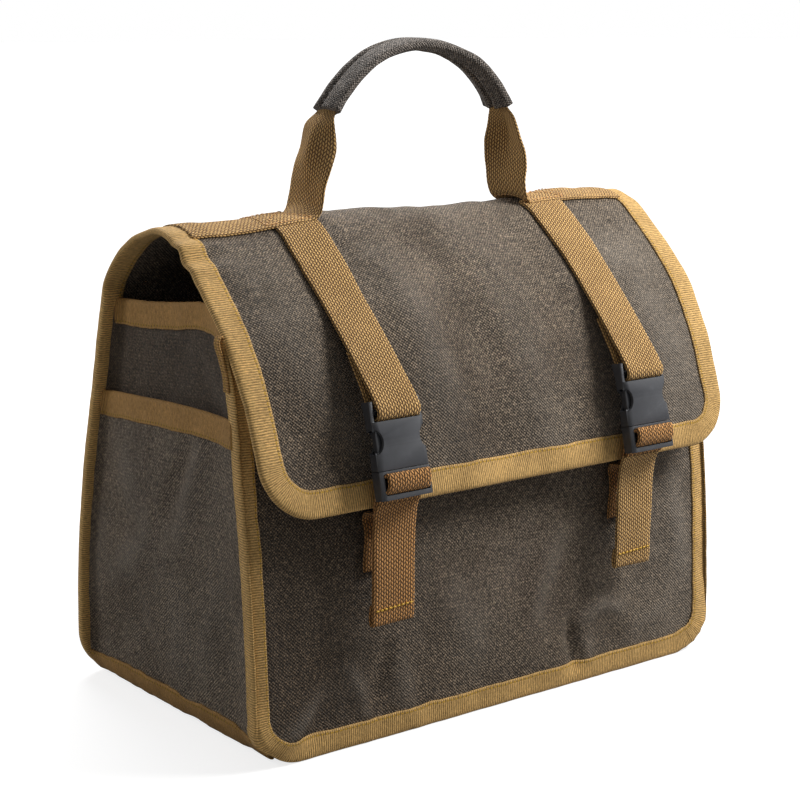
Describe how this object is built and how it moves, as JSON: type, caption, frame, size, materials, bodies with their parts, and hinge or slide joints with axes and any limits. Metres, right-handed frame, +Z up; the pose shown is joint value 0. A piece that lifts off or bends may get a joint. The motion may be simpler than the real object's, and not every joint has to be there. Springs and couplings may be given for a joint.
{
  "type": "tool bag",
  "caption": "Canvas tool bag with a stiff box body, side pockets, hooded flap closed by buckled straps, and a fold-down carrying handle.",
  "frame": {"origin": "on the floor under the middle of the whole bag", "axes": "+Z up, +X to the right seen from the front, -Y out of the front"},
  "size_m": [0.39, 0.2584, 0.4364],
  "materials": {
    "canvas": "waxed, mottled",
    "lining": "matt",
    "binding": "ribbed tape",
    "webbing": "woven webbing",
    "thread": "thread",
    "plastic": "satin",
    "board": "matt"
  },
  "bodies": {
    "shell": {"base_panel": "canvas", "base_board": "board", "front_panel": "canvas", "back_panel": "canvas", "side_panel_left": "canvas", "side_panel_right": "canvas", "pocket_left": "canvas", "pocket_right": "canvas", "front_binding": "binding", "back_binding": "binding", "base_binding_left": "binding", "base_binding_right": "binding", "side_rim_left": "binding", "side_rim_right": "binding", "pocket_rim_left": "binding", "pocket_rim_right": "binding", "front_rim": "binding", "anchor_strap_left": "webbing", "anchor_strap_right": "webbing", "corner_tab_left": "binding", "corner_tab_right": "binding"},
    "lid": {"flap": "canvas", "flap_binding": "binding", "top_webbing_left": "webbing", "top_webbing_right": "webbing", "front_strap_left": "webbing", "front_strap_right": "webbing", "buckle_socket_left": "plastic", "buckle_socket_right": "plastic", "webbing_stitch_left": "thread", "webbing_stitch_right": "thread"},
    "handle": {"handle_webbing": "webbing", "handle_sleeve": "canvas"},
    "clip_left": {"buckle_clip_left": "plastic", "clip_webbing_left": "webbing"},
    "clip_right": {"buckle_clip_right": "plastic", "clip_webbing_right": "webbing"},
    "left_arm_left": {"left_clip_arm_left": "plastic"},
    "left_arm_right": {"left_clip_arm_right": "plastic"},
    "right_arm_left": {"right_clip_arm_left": "plastic"},
    "right_arm_right": {"right_clip_arm_right": "plastic"},
    "tail_l": {"tail_left": "webbing", "tail_stitch_left": "thread"},
    "tail_r": {"tail_right": "webbing", "tail_stitch_right": "thread"}
  },
  "joints": [
    {"name": "lid_open", "type": "hinge", "parent": "shell", "child": "lid", "pos_m": [0, 0.08008, 0.27265], "axis": [-1, 0, 0], "range_deg": [0, 120]},
    {"name": "handle_fold", "type": "hinge", "parent": "lid", "child": "handle", "pos_m": [0, 0.0054, 0.34555], "axis": [1, 0, 0], "range_deg": [-90, 90]},
    {"name": "left_clip_slide", "type": "slide", "parent": "shell", "child": "clip_left", "axis": [0, -0.2215, -0.9751], "range_m": [0, 0.03]},
    {"name": "right_clip_slide", "type": "slide", "parent": "shell", "child": "clip_right", "axis": [0, -0.2215, -0.9751], "range_m": [0, 0.03]},
    {"name": "left_buckle_left_squeeze", "type": "hinge", "parent": "clip_left", "child": "left_arm_left", "pos_m": [-0.1187, -0.11983, 0.18156], "axis": [0, 0.9751, -0.2215], "range_deg": [0, 6], "stiffness_Nm_per_rad": 0.6},
    {"name": "left_buckle_right_squeeze", "type": "hinge", "parent": "clip_left", "child": "left_arm_right", "pos_m": [-0.0893, -0.11983, 0.18156], "axis": [0, -0.9751, 0.2215], "range_deg": [0, 6], "stiffness_Nm_per_rad": 0.6},
    {"name": "right_buckle_left_squeeze", "type": "hinge", "parent": "clip_right", "child": "right_arm_left", "pos_m": [0.0893, -0.11983, 0.18156], "axis": [0, 0.9751, -0.2215], "range_deg": [0, 6], "stiffness_Nm_per_rad": 0.6},
    {"name": "right_buckle_right_squeeze", "type": "hinge", "parent": "clip_right", "child": "right_arm_right", "pos_m": [0.1187, -0.11983, 0.18156], "axis": [0, -0.9751, 0.2215], "range_deg": [0, 6], "stiffness_Nm_per_rad": 0.6},
    {"name": "left_tail_swing", "type": "hinge", "parent": "clip_left", "child": "tail_l", "pos_m": [-0.104, -0.12256, 0.16188], "axis": [-1, 0, 0], "range_deg": [0, 80]},
    {"name": "right_tail_swing", "type": "hinge", "parent": "clip_right", "child": "tail_r", "pos_m": [0.104, -0.12256, 0.16188], "axis": [-1, 0, 0], "range_deg": [0, 80]}
  ]
}
